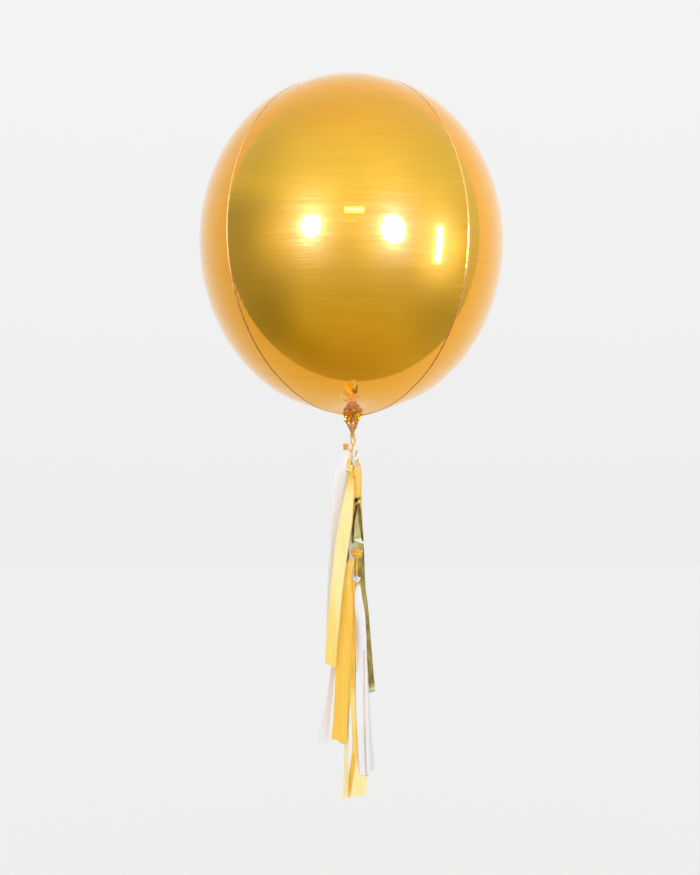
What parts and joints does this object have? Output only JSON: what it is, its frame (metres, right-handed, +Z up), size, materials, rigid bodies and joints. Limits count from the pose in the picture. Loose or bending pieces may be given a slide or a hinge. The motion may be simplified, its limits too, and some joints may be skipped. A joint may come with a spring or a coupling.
{
  "type": "sphere foil balloon with tassel tail",
  "caption": "Round mirror-gold foil balloon with a gathered neck, from which a knotted gold cord hangs and carries a tail of tissue and foil tassels.",
  "frame": {"origin": "middle of the neck where the cord is tied round it", "axes": "+Z up through the balloon, -Y towards the front; the tail hangs down along -Z"},
  "size_m": [0.5096, 0.5096, 1.224],
  "materials": {
    "gold_film": "polished gold metallised film",
    "gold_cord": "gold metallic braid",
    "white_tissue": "matte tissue",
    "yellow_tissue": "matte tissue",
    "orange_tissue": "matte tissue",
    "gold_foil": "crinkled metallic foil"
  },
  "bodies": {
    "root": {"balloon": "gold_film", "neck_tie_knot": "gold_cord", "tail_cord": "gold_cord", "tassel_white_upper": "white_tissue", "tassel_yellow": "yellow_tissue", "tassel_gold_foil": "gold_foil", "tassel_orange": "orange_tissue", "tassel_white_lower": "white_tissue", "tassel_yellow_lower": "yellow_tissue"}
  },
  "joints": []
}
